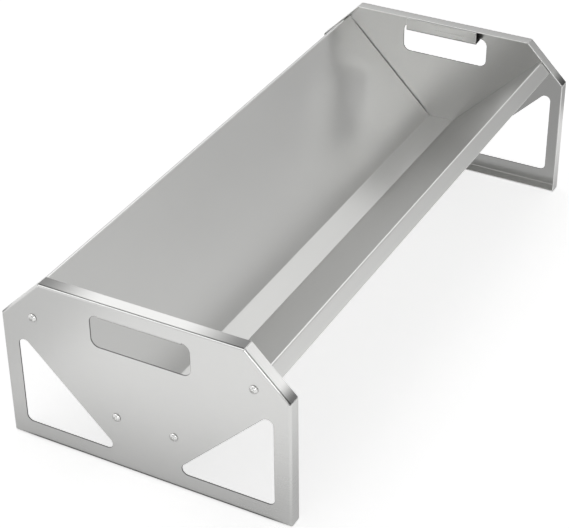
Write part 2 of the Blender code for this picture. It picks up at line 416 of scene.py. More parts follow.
class Graph:
    """A node tree that is grown one node at a time."""

    # Most of a noise's values lie between these two.
    NOISE_LOW = 0.3
    NOISE_HIGH = 0.7

    def __init__(self, owner: bpy.types.Material | bpy.types.World) -> None:
        """Take a material's or a world's node tree, and empty it.

        Args:
            owner: The material or the world.
        """
        owner.use_nodes = True
        self.tree = owner.node_tree
        self.tree.nodes.clear()

    def add(self, kind: str, inputs: dict[str | int, object], **settings: object) -> bpy.types.Node:
        """Add a node.

        Args:
            kind: Blender's name for the kind of node.
            inputs: A value, or the socket that feeds it, for each input by name or number.
            settings: The node's own settings.

        Returns:
            The node.
        """
        node = self.tree.nodes.new(kind)
        for name, value in settings.items():
            setattr(node, name, value)
        for name, value in inputs.items():
            if isinstance(value, bpy.types.NodeSocket):
                self.tree.links.new(value, node.inputs[name])
            else:
                node.inputs[name].default_value = value
        return node

    def noise(
        self, vector: bpy.types.NodeSocket, scale: float, detail: float
    ) -> bpy.types.NodeSocket:
        """Add a noise.

        Args:
            vector: The place that it is read at.
            scale: How many of its swells there are in a unit of length.
            detail: How many finer noises lie on top of it.

        Returns:
            The noise's value.
        """
        inputs = {"Vector": vector, "Scale": scale, "Detail": detail}
        return self.add("ShaderNodeTexNoise", inputs).outputs["Fac"]

    def spread(
        self, noise: bpy.types.NodeSocket, middle: float, reach: float
    ) -> bpy.types.NodeSocket:
        """Spread the common values of a noise evenly about a value.

        Args:
            noise: The noise.
            middle: The value.
            reach: How far the result goes below it and above it.

        Returns:
            The spread value.
        """
        inputs = {
            "Value": noise,
            "From Min": self.NOISE_LOW,
            "From Max": self.NOISE_HIGH,
            "To Min": middle - reach,
            "To Max": middle + reach,
        }
        return self.add("ShaderNodeMapRange", inputs).outputs["Result"]

    def ramp(
        self, value: bpy.types.NodeSocket, low: float, high: float, top: float = 1.0
    ) -> bpy.types.NodeSocket:
        """Rise smoothly from 0 to a top value.

        Args:
            value: What the ramp depends on.
            low: Where it starts.
            high: Where it ends.
            top: What it rises to.

        Returns:
            The ramp's value.
        """
        inputs = {"Value": value, "From Min": low, "From Max": high, "To Max": top}
        node = self.add("ShaderNodeMapRange", inputs, interpolation_type="SMOOTHSTEP")
        return node.outputs["Result"]

    def vector_maths(self, operation: str, inputs: dict[str | int, object]) -> bpy.types.Node:
        """Add an operation on vectors.

        Args:
            operation: Blender's name for the operation.
            inputs: A value, or the socket that feeds it, for each input by name or number.

        Returns:
            The node.
        """
        return self.add("ShaderNodeVectorMath", inputs, operation=operation)

    def maths(
        self, operation: str, *values: bpy.types.NodeSocket | float
    ) -> bpy.types.NodeSocket:
        """Add an operation on numbers.

        Args:
            operation: Blender's name for the operation.
            values: The numbers, or the sockets that give them.

        Returns:
            The result.
        """
        return self.add("ShaderNodeMath", dict(enumerate(values)), operation=operation).outputs[0]


@dataclass(frozen=True)
class Finish:
    """Satin or turned stainless steel: its colour, its grain and how the light spreads on it."""

    # The UV map that lies flat on the blank, in metres.
    MAP = "blank"
    # How much the grain and the clouds change the tint, and each of them the roughness.
    GRAIN_TONE = 0.005
    CLOUD_TONE = 0.015
    UNEVENNESS = 0.012
    # The scale and the detail of the clouds and of the swells, and the detail of the grain.
    CLOUD = (7, 3)
    SWELL = (3.5, 1)
    GRAIN_DETAIL = 4

    name: str
    tint: tuple[float, float, float]
    roughness: float
    # The marks of the grain in a metre, along its lines and across them, and their depth.
    grain_along: float
    grain_across: float
    grain_depth: float
    # The depth of the slow swells that a rolled sheet has.
    waviness: float = 0.0

    def painted_shade(self, graph: Graph, place: bpy.types.NodeSocket) -> bpy.types.NodeSocket | float:
        """Give the part of the light that painted shade leaves, 1 where no shade is painted.

        Args:
            graph: The material's node tree.
            place: The point that is shaded.

        Returns:
            The factor.
        """
        return 1.0

    def made(self) -> bpy.types.Material:
        """Make the material.

        Returns:
            The material.
        """
        material = bpy.data.materials.new(self.name)
        graph = Graph(material)
        blank = graph.add("ShaderNodeUVMap", {}, uv_map=self.MAP).outputs["UV"]
        stretched = {"Vector": blank, "Scale": (self.grain_along, self.grain_across, 1)}
        grain_place = graph.add("ShaderNodeMapping", stretched).outputs["Vector"]
        place = graph.add("ShaderNodeTexCoord", {}).outputs["Object"]
        grain = graph.noise(grain_place, 1, self.GRAIN_DETAIL)
        cloud = graph.noise(place, *self.CLOUD)
        wave = graph.noise(place, *self.SWELL)

        tone = graph.maths(
            "ADD",
            graph.spread(grain, 0, self.GRAIN_TONE),
            graph.spread(cloud, 1, self.CLOUD_TONE),
        )
        # Painted shade, where the finish has any, darkens the tint.
        tone = graph.maths("MULTIPLY", tone, self.painted_shade(graph, place))
        colour = graph.vector_maths("SCALE", {0: self.tint, "Scale": tone}).outputs[0]
        rough = graph.maths(
            "ADD",
            graph.spread(grain, self.roughness, self.UNEVENNESS),
            graph.spread(cloud, 0, self.UNEVENNESS),
        )
        swell = graph.add(
            "ShaderNodeBump", {"Height": wave, "Distance": self.waviness, "Strength": 1.0}
        ).outputs["Normal"]
        brushed = graph.add(
            "ShaderNodeBump",
            {"Height": grain, "Distance": self.grain_depth, "Strength": 1.0, "Normal": swell},
        ).outputs["Normal"]
        shader = graph.add(
            "ShaderNodeBsdfPrincipled",
            {"Base Color": colour, "Metallic": 1.0, "Roughness": rough, "Normal": brushed},
        )
        graph.add("ShaderNodeOutputMaterial", {"Surface": shader.outputs["BSDF"]})
        material.diffuse_color = (*self.tint, 1.0)
        return material


@dataclass(frozen=True)
class PaintedShadeFinish(Finish):
    """Satin steel with painted shade at the ends of its top flange and at the lower ends of its
    clipped flanges.
    """

    # Painted shade at the ends of the top flange: Y of the corner, how far the shade reaches from
    # it,
    #  and the part of the light that it takes away.
    corner: float = 0.127
    top_reach: float = 0.080
    top_shade: float = 0.72
    # Painted shade at the lower end of a clipped flange: the corner at +Y, how far from it the
    # shade is
    #  full, how far it reaches, and the part of the light that it takes away.
    heel: tuple[float, float, float] = (0.0, 0.180, 0.165)
    heel_core: float = 0.002
    heel_reach: float = 0.024
    heel_shade: float = 0.82
    # The rise of a normal at which a face begins to count as sloping, or as level, and fully does.
    sloping: tuple[float, float] = (0.2, 0.6)
    level: tuple[float, float] = (0.8, 0.95)

    def painted_shade(self, graph: Graph, place: bpy.types.NodeSocket) -> bpy.types.NodeSocket | float:
        """Paint shade on the ends of the top flange and on the lower ends of the clipped flanges.

        Args:
            graph: The material's node tree.
            place: The point that is shaded.

        Returns:
            The factor.
        """
        normal = graph.add("ShaderNodeNewGeometry", {}).outputs["True Normal"]
        upward = graph.add("ShaderNodeSeparateXYZ", {"Vector": normal}).outputs["Z"]
        folded = graph.vector_maths("ABSOLUTE", {0: place}).outputs[0]
        flat = graph.vector_maths("MULTIPLY", {0: folded, 1: (0, 1, 1)}).outputs[0]
        across = graph.add("ShaderNodeSeparateXYZ", {"Vector": folded}).outputs["Y"]
        distance = graph.vector_maths("DISTANCE", {0: flat, 1: self.heel}).outputs["Value"]
        top = graph.maths(
            "MULTIPLY",
            graph.ramp(upward, *self.level),
            graph.ramp(across, self.corner - self.top_reach, self.corner, self.top_shade),
        )
        heel = graph.maths(
            "MULTIPLY",
            graph.ramp(upward, *self.sloping),
            graph.ramp(distance, self.heel_reach, self.heel_core, self.heel_shade),
        )
        return graph.maths("MULTIPLY_ADD", graph.maths("MAXIMUM", top, heel), -1.0, 1.0)


@dataclass(frozen=True)
class Sheet:
    """The stainless sheet and the way it is folded."""

    thickness: float = 0.0015
    # The radius of a bend, to the middle of the sheet.
    bend: float = 0.00225
    bend_steps: int = 8
    gap: float = 0.0003
    # How far the easing of a cut edge reaches.
    edge: float = 0.0004
    edge_steps: int = 2

    @property
    def half(self) -> float:
        """Half of the thickness, from the middle of the sheet to its face."""
        return self.thickness / 2


SHEET = Sheet()


@dataclass
class Layout:
    """What the pieces share: the length, the slope of the walls and the places of the bolts."""

    # Between the outer faces of the two end plates.
    length: float = 0.795
    # Z at which the two slopes would meet in the middle plane.
    wall_rise: float = 0.0472
    # The bolts are this far outward from a wall's inner face, and this far up its slope.
    outward: float = 0.0095
    lower: float = 0.0756
    upper: float = 0.2180
    hole: float = 0.0066
    hole_sides: int = 32

    def on_wall(self, along: float, outward: float, side: Side) -> Vector:
        """Find a point from a wall's slope.

        Args:
            along: The distance up the slope.
            outward: The distance out from the wall's inner face.
            side: The side that the wall is on.

        Returns:
            The point, at X = 0.
        """
        rise = self.wall_rise / 2
        y = (along + outward) * DIAGONAL - rise
        z = (along - outward) * DIAGONAL + rise
        return Vector((0, side * y, z))

    def from_wall(self, place: Vector) -> tuple[float, float]:
        """Find where a place is, seen from the wall on its side.

        Args:
            place: The place.

        Returns:
            The distance up the slope, and the distance out from the wall's inner face.
        """
        along = (abs(place.y) + place.z) * DIAGONAL
        outward = (abs(place.y) - place.z + self.wall_rise) * DIAGONAL
        return along, outward

    def places(self) -> dict[str, Vector]:
        """Give the places of the bolts of one end, at X = 0.

        Returns:
            The places by name.
        """
        return {
            f"{side.name.lower()}_{height}": self.on_wall(along, self.outward, side)
            for side in Side
            for height, along in (("lower", self.lower), ("upper", self.upper))
        }

    def drill(self, x: float, depth: float) -> Workpiece:
        """Make the drill for the holes of one end.

        Args:
            x: The middle of the drill.
            depth: Its length.

        Returns:
            Four bars along X.
        """
        radius, sides = self.hole / 2, self.hole_sides
        bars = [
            Workpiece.bar("drill", place + Vector((x, 0, 0)), radius, depth, sides, lying=True)
            for place in self.places().values()
        ]
        return bars[0].joined(bars[1:])


@dataclass
class EndPlate:
    """A folded end plate with a hand slot, a grip and two windows."""

    layout: Layout
    width: float = 0.360
    height: float = 0.218
    corner_clip: float = 0.053
    flange: float = 0.017
    slot_width: float = 0.124
    slot_bottom: float = 0.1595
    slot_top: float = 0.2005
    slot_radius: float = 0.010
    grip_top: float = 0.2158
    # Y of a window's outer edge and of its inner corner, if that were sharp.
    window_outer: float = 0.1595
    window_inner: float = 0.0342
    window_bottom: float = 0.0223
    window_radius: float = 0.0075
    round_sides: int = 64
    plug: float = 0.008
    # The blades that part the flanges.
    slit: float = 0.0004
    slit_length: float = 0.010
    # A normal that is longer than this across X belongs to a flange and not to the face.
    leaning: float = 0.05

    @property
    def face(self) -> float:
        """X of the middle of the left plate's flat face."""
        return SHEET.half - self.layout.length / 2

    @property
    def rim(self) -> float:
        """X of the free edges of the left plate's flanges."""
        return self.flange - self.layout.length / 2

    @property
    def grip_half(self) -> float:
        """Half of the grip's width, which is the straight part of the slot's upper edge."""
        return self.slot_width / 2 - self.slot_radius

    def is_flat(self, place: Vector) -> bool:
        """Tell whether a place is over the flat face, inside the bends.

        Args:
            place: The place.

        Returns:
            True if it is.
        """
        margin = SHEET.half + SHEET.bend
        return (
            abs(place.y) < self.width / 2 - margin
            and margin < place.z < self.height - margin
            and abs(place.y) + place.z
            < self.width / 2 + self.height - self.corner_clip - margin * ROOT_TWO
        )

    def tray(self) -> Workpiece:
        """Make the middle surface of the face and its flanges.

        Returns:
            A closed block with rounded front edges, to be opened later.
        """
        half = SHEET.half
        low = Vector((self.face, half - self.width / 2, half))
        high = Vector((self.rim, self.width / 2 - half, self.height - half))
        tray = Workpiece.block("left_end_plate", (low + high) / 2, high - low)
        leg = self.corner_clip - 2 * half + half * ROOT_TWO
        with tray.editing():
            for side in Side:
                tray.pick(
                    Element.EDGE,
                    lambda p, s=side: s * p.y > high.y - TINY and p.z > high.z - TINY,
                )
                bpy.ops.mesh.bevel(offset=leg, segments=1)
            tray.pick(Element.EDGE, lambda p: p.x < self.face + TINY)
            bpy.ops.mesh.bevel(offset=SHEET.bend, segments=SHEET.bend_steps)
        return tray

    def windows(self) -> list[Workpiece]:
        """Make the plugs that cut the slot and the two windows.

        Returns:
            The three plugs.
        """
        radius, depth, sides = self.slot_radius, self.plug, self.round_sides
        levels = (self.slot_bottom + radius, self.slot_top - radius)
        centres = [Vector((self.face, side * self.grip_half, z)) for side in Side for z in levels]
        plugs = [Workpiece.rounded_plug("slot", centres, radius, depth, sides)]
        radius = self.window_radius
        point = radius * (1 + ROOT_TWO)
        inner, outer = self.window_inner + point, self.window_outer - radius
        low = self.window_bottom + radius
        high = self.window_bottom + self.window_outer - self.window_inner - point
        for side in Side:
            corners = ((inner, low), (outer, low), (outer, high))
            centres = [Vector((self.face, side * y, z)) for y, z in corners]
            plugs.append(Workpiece.rounded_plug("window", centres, radius, depth, sides))
        return plugs

    def fold_grip(self, tray: Workpiece) -> None:
        """Fold the grip from the slot's straight upper edge: in, and then up.

        Args:
            tray: The open surface of the plate.
        """
        bend = SHEET.bend
        depth = self.flange - SHEET.thickness
        tray.pick(
            Element.EDGE,
            lambda p: abs(p.z - self.slot_top) < TINY
            and abs(p.y) < self.grip_half + TINY
            and abs(p.x - self.face) < TINY,
        )
        for x, run in (
            (self.face + bend, Vector((depth - 2 * bend, 0, 0))),
            (self.face + depth - bend, Vector((0, 0, self.grip_top - self.slot_top))),
        ):
            bpy.ops.mesh.spin(
                steps=SHEET.bend_steps,
                angle=QUARTER_TURN,
                center=(x, 0, self.slot_top),
                axis=(0, 1, 0),
            )
            bpy.ops.mesh.extrude_edges_move(TRANSFORM_OT_translate={"value": run})

    def slits(self) -> Workpiece:
        """Make the thin blades that part the flanges at the six corners.

        Returns:
            The blades, as one workpiece.
        """
        half_width = self.width / 2
        shoulder = self.height - self.corner_clip
        top = half_width - self.corner_clip
        size = Vector((3 * self.flange, self.slit_length, self.slit))
        # For each corner at +Y: its place, how far in from it the bends meet for a radius of 1,
        # and the direction of that point, in degrees from +Y toward +Z.
        corners = (
            (half_width, 0, ROOT_TWO, 135.0),
            (half_width, shoulder, FOLD_CORNER, 202.5),
            (top, self.height, FOLD_CORNER, 247.5),
        )
        blades = []
        for side in Side:
            for y, z, reach, angle in corners:
                turn = math.radians(angle)
                inward = Vector((0, math.cos(turn), math.sin(turn)))
                inner_end = (SHEET.half + SHEET.bend) * reach
                centre = Vector((self.rim, y, z)) + inward * (inner_end - self.slit_length / 2)
                centre.y *= side
                blades.append(Workpiece.block("blade", centre, size, side * turn))
        return blades[0].joined(blades[1:])

    def on_blank(self, place: Vector, normal: Vector) -> tuple[float, float]:
        """Find a point's place on the unfolded plate, where the grain runs across.

        Args:
            place: The point.
            normal: The normal of its face.

        Returns:
            Its place on the blank.
        """
        flat = Vector((place.y, place.z))
        outward = Vector((normal.y, normal.z))
        if outward.length > self.leaning:
            outward.normalize()
            middle = Vector((0, self.height / 2))
            outward *= math.copysign(1, outward.dot(flat - middle))
            flat += outward * (place.x - self.face)
        return flat.x, flat.y

    def build(self) -> Workpiece:
        """Build the left end plate.

        Returns:
            The plate.
        """
        plate = self.tray()
        for plug in self.windows():
            plate.cut(plug)
        with plate.editing():
            plate.pick(Element.FACE, lambda p: p.x > self.face + TINY and self.is_flat(p))
            bpy.ops.mesh.delete(type="FACE")
            self.fold_grip(plate)
        plate.thicken()
        plate.cut(self.slits())
        plate.cut(self.layout.drill(self.face, self.flange))
        plate.tidy()
        return plate

    def is_sheared_and_highlighted(self, place: Vector) -> bool:
        """Tell whether a place is on a free edge of a flange or of the grip, which has a painted
        highlight.

        Args:
            place: The middle of a face.

        Returns:
            True if it is.
        """
        half, top = self.grip_half, self.grip_top
        if abs(place.y) < half + TINY and self.slot_bottom < place.z < top + TINY:
            at_end = abs(place.y) > half - TINY or place.z > top - TINY
            return at_end and place.x > self.face + SHEET.thickness
        return place.x > self.rim - TINY

    def is_burned(self, place: Vector) -> bool:
        """Tell whether a place is on the wall that a burning cut left in a window or the slot.

        Args:
            place: The middle of a face.

        Returns:
            True if it is.
        """
        inside = abs(place.x - self.face) < SHEET.half - TINY
        folded = abs(place.y) < self.grip_half and place.z > self.slot_top - SHEET.thickness
        return inside and self.is_flat(place) and not folded

    def dress(self, plate: Workpiece, finishes: dict[Surface, Finish]) -> None:
        """Ease the edges of the sheet and put the finishes on.

        Args:
            plate: The plate.
            finishes: The finish of each surface.
        """
        plate.dress([finishes[surface].made() for surface in Surface])
        # The free edges take a near-white finish, partly a rough sheared edge and partly a painted
        # highlight.
        plate.paint(Surface.FREE_EDGE, self.is_sheared_and_highlighted)
        # The eased edges take a lighter finish, partly wear of the cut edge and partly a painted
        # highlight.
        plate.ease(SHEET.edge, SHEET.edge_steps, Surface.EASED)
        plate.paint(Surface.CUT_WALL, self.is_burned)
        plate.unfold(self.on_blank)


@dataclass
class TroughBody:
    """The folded body: floor, two sloping walls, their lips, and tabs that carry the bolts."""

    layout: Layout
    floor_half: float = 0.018
    # Y plus Z on the line of an end plate's clipped corner.
    plate_corner: float = 0.345
    lip: float = 0.019
    lip_clearance: float = 0.0005
    tab: float = 0.018
    tab_corner: float = 0.004
    tab_corner_steps: int = 6
    tab_margin: float = 0.010
    tab_relief: float = 0.0025
    tab_bend: float = 0.00125
    drill: float = 0.072
    # The least sum of the sine and the cosine of the angle round the bend where the highlight is
    # painted.
    crest: float = 1.36

    @property
    def straight_end(self) -> float:
        """X where the walls end and the tabs start to bend."""
        return self.layout.length / 2 - 1.5 * SHEET.thickness - SHEET.gap - self.tab_bend

    @property
    def lip_along(self) -> float:
        """How far up the wall's slope the middle of the lip lies."""
        return self.plate_corner * DIAGONAL - 1.5 * SHEET.thickness - self.lip_clearance

    def trough(self) -> Workpiece:
        """Make the middle surface of the floor, the walls and the lips.

        Returns:
            The open surface.
        """
        half = SHEET.half
        inside = Vector((0, self.floor_half, self.floor_half + self.layout.wall_rise))
        corner = inside + Vector((0, half * HALF_FOLD, -half))
        crest = self.layout.on_wall(self.lip_along, half, Side.BACK)
        bpy.ops.mesh.primitive_plane_add(size=2, location=(0, 0, corner.z))
        trough = Workpiece.taken("trough")
        trough.thing.scale = (self.straight_end, corner.y, 1)
        trough.settle()
        with trough.editing():
            for side in Side:
                low = Vector((0, side * corner.y, corner.z))
                rim = self.layout.on_wall(self.lip_along, half, side)
                end = self.layout.on_wall(self.lip_along, self.lip, side)
                trough.pick(
                    Element.EDGE,
                    lambda p, s=side: s * p.y > corner.y - TINY and p.z < corner.z + TINY,
                )
                for run in (rim - low, end - rim):
                    bpy.ops.mesh.extrude_edges_move(TRANSFORM_OT_translate={"value": run})
            for place, offset, steps in (
                (corner, SHEET.bend * HALF_FOLD, SHEET.bend_steps // 2),
                (crest, SHEET.bend, SHEET.bend_steps),
            ):
                trough.pick(
                    Element.EDGE,
                    lambda p, c=place: abs(abs(p.y) - c.y) < TINY and abs(p.z - c.z) < TINY,
                )
                bpy.ops.mesh.bevel(offset=offset, segments=steps)
        return trough

    def is_end(self, place: Vector, end: End, first: float, last: float) -> bool:
        """Tell whether a place is at or past the end of the straight walls, on a part of the slope.

        Args:
            place: The place.
            end: The end of the trough.
            first: The distance up the slope where the part starts.
            last: The distance up the slope where it stops.

        Returns:
            True if it is.
        """
        along, _ = self.layout.from_wall(place)
        past = end * place.x > self.straight_end - TINY
        return past and first - TINY < along < last + TINY

    def fold_tab(self, trough: Workpiece, end: End, side: Side, low: float, high: float) -> None:
        """Fold one tab outward from a wall's end and round its free corners, in edit mode.

        Args:
            trough: The open surface.
            end: The end of the trough.
            side: The side that the wall is on.
            low: The distance up the slope where the tab starts.
            high: The distance up the slope where it stops.
        """
        outward = Vector((0, side * DIAGONAL, -DIAGONAL))
        slope = Vector((0, side * DIAGONAL, DIAGONAL))
        trough.pick(Element.EDGE, lambda p: self.is_end(p, end, low, high) and side * p.y > 0)
        root = self.layout.on_wall(low, SHEET.half, side) + Vector((end * self.straight_end, 0, 0))
        bpy.ops.mesh.spin(
            steps=SHEET.bend_steps,
            angle=QUARTER_TURN,
            center=root + outward * self.tab_bend,
            axis=slope * (-end * side),
        )
        bpy.ops.mesh.extrude_edges_move(
            TRANSFORM_OT_translate={"value": outward * (self.tab - self.tab_bend)}
        )
        free = self.tab + SHEET.half - TINY
        trough.pick(
            Element.VERTEX,
            lambda p: self.is_end(p, end, low, high)
            and side * p.y > 0
            and self.layout.from_wall(p)[1] > free,
        )
        bpy.ops.mesh.bevel(
            offset=self.tab_corner, segments=self.tab_corner_steps, affect="VERTICES"
        )

    def fold_ends(self, trough: Workpiece) -> None:
        """Run the floor and the tops of the walls on to the plates, and fold the tabs.

        Args:
            trough: The open surface.
        """
        low = self.layout.lower - self.tab_margin
        high = self.layout.upper + self.tab_margin
        below, above = low - self.tab_relief, high + self.tab_relief
        rim = self.lip_along - SHEET.bend
        reach = self.layout.length / 2 - SHEET.thickness - SHEET.gap - self.straight_end
        bpy.ops.mesh.select_mode(type="VERT")
        for side in Side:
            for mark in (below, low, high, above):
                bpy.ops.mesh.select_all(action="SELECT")
                bpy.ops.mesh.bisect(
                    plane_co=self.layout.on_wall(mark, 0, side),
                    plane_no=(0, side * DIAGONAL, DIAGONAL),
                )
        for end in End:
            trough.pick(
                Element.EDGE,
                lambda p, e=end: self.is_end(p, e, 0, below) or self.is_end(p, e, above, rim),
            )
            bpy.ops.mesh.extrude_edges_move(
                TRANSFORM_OT_translate={"value": Vector((end * reach, 0, 0))}
            )
            for side in Side:
                self.fold_tab(trough, end, side, low, high)

    def build(self) -> Workpiece:
        """Build the trough body.

        Returns:
            The body.
        """
        body = self.trough()
        with body.editing():
            self.fold_ends(body)
        body.thicken()
        for end in End:
            body.cut(self.layout.drill(end * self.layout.length / 2, self.drill))
        body.tidy()
        return body

    def is_painted_highlight(self, place: Vector) -> bool:
        """Tell whether a place is on the crest of a lip's fold, where a highlight is painted.

        Args:
            place: The middle of a face.

        Returns:
            True on the middle third of the fold's outer surface.
        """
        along, outward = self.layout.from_wall(place)
        radius = SHEET.half + SHEET.bend
        sine = (along - self.lip_along + SHEET.bend) / radius
        cosine = (radius - outward) / radius
        return sine + cosine > self.crest

    def dress(self, body: Workpiece, satin: Finish, edge: Finish) -> None:
        """Ease the edges of the sheet and put the finishes on.

        Args:
            body: The body.
            satin: The finish of the faces.
            edge: The finish of the eased edges and of the highlight painted on the folds.
        """
        body.dress([satin.made(), edge.made()])
        # The crests of the lips' folds take the light edge finish as a painted highlight.
        body.paint(Surface.EASED, self.is_painted_highlight)
        # The eased edges take a lighter finish, partly wear of the cut edge and partly a painted
        # highlight.
        body.ease(SHEET.edge, SHEET.edge_steps, Surface.EASED)
        body.unfold(lambda place, normal: (place.x, place.y * ROOT_TWO))


@dataclass
class Fastener:
    """A button head bolt with its washer and nut, made standing on Z and then laid along X."""

    layout: Layout
    head_diameter: float = 0.0105
    head_height: float = 0.0033
    head_edge: float = 0.0006
    socket_flats: float = 0.004
    socket_depth: float = 0.0018
    shank_length: float = 0.012
    # How far the shank reaches into the head, and the thread's ridge into the shank's core.
    shank_overlap: float = 0.0002
    thread_root: float = 0.00015
    thread_diameter: float = 0.0059
    thread_pitch: float = 0.001
    thread_depth: float = 0.00055
    washer_diameter: float = 0.012
    washer_thickness: float = 0.0016
    nut_flats: float = 0.010
    nut_height: float = 0.0052
    nut_chamfer: float = 0.0008
    # How many times wider than the corners the chamfering form is between the chamfers.
    nut_clear: float = 1.15
    bore: float = 0.0208
    sides: int = 48
    ease: float = 0.00012
    ease_steps: int = 2
    roll: float = 0.00024
    roll_steps: int = 3
    # The rise of a normal from which a face counts as lying flat.
    facing: float = 0.7
    # How the bolts' angles differ from place to place and from end to end, in degrees.
    place_turn: float = 37
    end_turn: float = 11

    def threaded_shank(self) -> Workpiece:
        """Make the shank: a core with a helical ridge wound on it, cut to a chamfered length.

        Returns:
            The shank, below Z = 0.
        """
        core = self.thread_diameter / 2 - self.thread_depth
        turns = math.ceil(self.shank_length / self.thread_pitch) + 1
        # A triangle is one and a half times as high as the radius to its corners.
        tooth = (self.thread_depth + self.thread_root) / 1.5
        bpy.ops.mesh.primitive_circle_add(
            vertices=TRIANGLE,
            radius=tooth,
            location=(core + self.thread_depth - tooth, 0, -turns * self.thread_pitch),
            rotation=(QUARTER_TURN, QUARTER_TURN, 0),
        )
        ridge = Workpiece.taken("ridge")
        ridge.apply(
            "SCREW",
            axis="Z",
            screw_offset=self.thread_pitch,
            iterations=turns,
            steps=self.sides // 2,
            render_steps=self.sides // 2,
            use_merge_vertices=False,
        )
        with ridge.editing():
            bpy.ops.mesh.select_all(action="SELECT")
            bpy.ops.mesh.remove_doubles(threshold=TINY / 4)
            bpy.ops.mesh.select_all(action="DESELECT")
            bpy.ops.mesh.select_mode(type="EDGE")
            bpy.ops.mesh.select_non_manifold()
            bpy.ops.mesh.fill_holes(sides=TRIANGLE)
            bpy.ops.mesh.select_all(action="SELECT")
            bpy.ops.mesh.normals_make_consistent(inside=False)
        middle = Vector((0, 0, self.shank_overlap / 2 - self.shank_length / 2))
        height = self.shank_length + self.shank_overlap
        shank = Workpiece.bar("shank", middle, core + TINY, height, self.sides // 2)
        shank.cut(ridge, Cut.TOGETHER)
        crest = self.thread_diameter / 2 + TINY
        form = Workpiece.bar("form", middle, crest, height, self.sides)
        with form.editing():
            form.pick(Element.EDGE, lambda p: p.z < TINY - self.shank_length)
            bpy.ops.mesh.bevel(offset=self.thread_depth, segments=1)
        shank.cut(form, Cut.COMMON)
        return shank

    def bolt(self) -> Workpiece:
        """Make the bolt, with its head above Z = 0.

        Returns:
            The bolt.
        """
        radius = self.head_diameter / 2
        rise = self.head_height - self.head_edge
        dome = (radius**2 + rise**2) / (2 * rise)
        centre = (0, 0, self.head_height - dome)
        bpy.ops.mesh.primitive_uv_sphere_add(
            segments=self.sides, ring_count=self.sides, radius=dome, location=centre
        )
        bolt = Workpiece.taken("bolt")
        with bolt.editing():
            bpy.ops.mesh.select_all(action="SELECT")
            bpy.ops.mesh.bisect(
                plane_co=(0, 0, self.head_edge), plane_no=(0, 0, 1), use_fill=True, clear_inner=True
            )
            bolt.pick(Element.FACE, lambda p: p.z < self.head_edge + TINY)
            bpy.ops.mesh.extrude_region_move(
                TRANSFORM_OT_translate={"value": (0, 0, -self.head_edge)}
            )
        floor = self.head_height - self.socket_depth
        depth = 2 * self.socket_depth
        corner = self.socket_flats / ROOT_THREE
        middle = Vector((0, 0, floor + depth / 2))
        socket = Workpiece.bar("socket", middle, corner, depth, HEXAGON)
        with socket.editing():
            socket.pick(Element.FACE, lambda p: p.z < floor + TINY)
            bpy.ops.mesh.extrude_region_move(TRANSFORM_OT_translate={"value": (0, 0, -corner / 3)})
            bpy.ops.mesh.merge(type="CENTER")
        bolt.cut(socket)
        bolt.cut(self.threaded_shank(), Cut.TOGETHER)
        bolt.ease(self.ease, self.ease_steps)
        return bolt

    def open_bore(self, blank: Workpiece, radius: float) -> None:
        """Open a bore through a workpiece along Z.

        Args:
            blank: The workpiece.
            radius: The bore's radius.
        """
        blank.cut(Workpiece.bar("bore", Vector((0, 0, 0)), radius, self.bore, self.sides))

    def washer(self) -> Workpiece:
        """Make the washer, standing on Z = 0.

        Returns:
            The washer.
        """
        radius, height = self.washer_diameter / 2, self.washer_thickness
        washer = Workpiece.bar("washer", Vector((0, 0, height / 2)), radius, height, self.sides)
        self.open_bore(washer, self.layout.hole / 2)
        washer.ease(self.roll, self.roll_steps)
        return washer

    def nut(self) -> Workpiece:
        """Make the nut, standing on Z = 0, with chamfered corners and an eased bore.

        Returns:
            The nut.
        """
        half = self.nut_height / 2
        middle = Vector((0, 0, half))
        corner = self.nut_flats / ROOT_THREE
        nut = Workpiece.bar("nut", middle, corner, self.nut_height, HEXAGON)
        form = Workpiece.bar("form", middle, corner + TINY, self.nut_height + TINY, self.sides)
        narrow = 1 - self.nut_chamfer / corner
        straight = half - self.nut_chamfer / 2
        with form.editing():
            for side in (-1, 1):
                form.pick(Element.FACE, lambda p, s=side: s * (p.z - middle.z) > half - TINY)
                bpy.ops.transform.resize(value=(narrow, narrow, 1), center_override=middle)
            for side in (-1, 1):
                bpy.ops.mesh.select_all(action="SELECT")
                bpy.ops.mesh.bisect(
                    plane_co=middle + Vector((0, 0, side * straight)), plane_no=(0, 0, 1)
                )
            form.pick(Element.VERTEX, lambda p: abs(p.z - middle.z) < straight + TINY)
            bpy.ops.transform.resize(
                value=(self.nut_clear, self.nut_clear, 1), center_override=middle
            )
        nut.cut(form, Cut.COMMON)
        self.open_bore(nut, self.thread_diameter / 2 + 2 * TINY)
        nut.ease(self.ease, self.ease_steps)
        return nut

    def seats(self) -> dict[Kind, float]:
        """Give the distance from the middle of the trough at which each kind is seated.

        Returns:
            The distances by kind.
        """
        tab_inner = self.layout.length / 2 - 2 * SHEET.thickness - SHEET.gap
        washer = tab_inner - SHEET.gap - self.washer_thickness
        return {
            Kind.BOLT: self.layout.length / 2 + SHEET.gap,
            Kind.WASHER: washer,
            Kind.NUT: washer - SHEET.gap - self.nut_height,
        }

    def on_turned(self, place: Vector, normal: Vector) -> tuple[float, float]:
        """Lay the marks of the lathe in rings round Z.

        Args:
            place: The point.
            normal: The normal of its face.

        Returns:
            The distance from ring to ring, and a place along the ring.
        """
        across = math.hypot(place.x, place.y) if abs(normal.z) > self.facing else place.z
        return across, place.x + place.y

    def build(self, finishes: dict[Kind, Finish]) -> None:
        """Build one of each kind and put a copy at each of the eight places.

        Args:
            finishes: The finish of each kind.
        """
        masters = {Kind.BOLT: self.bolt(), Kind.WASHER: self.washer(), Kind.NUT: self.nut()}
        for kind, master in masters.items():
            master.dress([finishes[kind].made()])
            master.unfold(self.on_turned)
        for end in End:
            outward = Matrix.Rotation(end * QUARTER_TURN, 4, "Y")
            end_name = end.name.lower()
            for number, (spot, place) in enumerate(self.layout.places().items()):
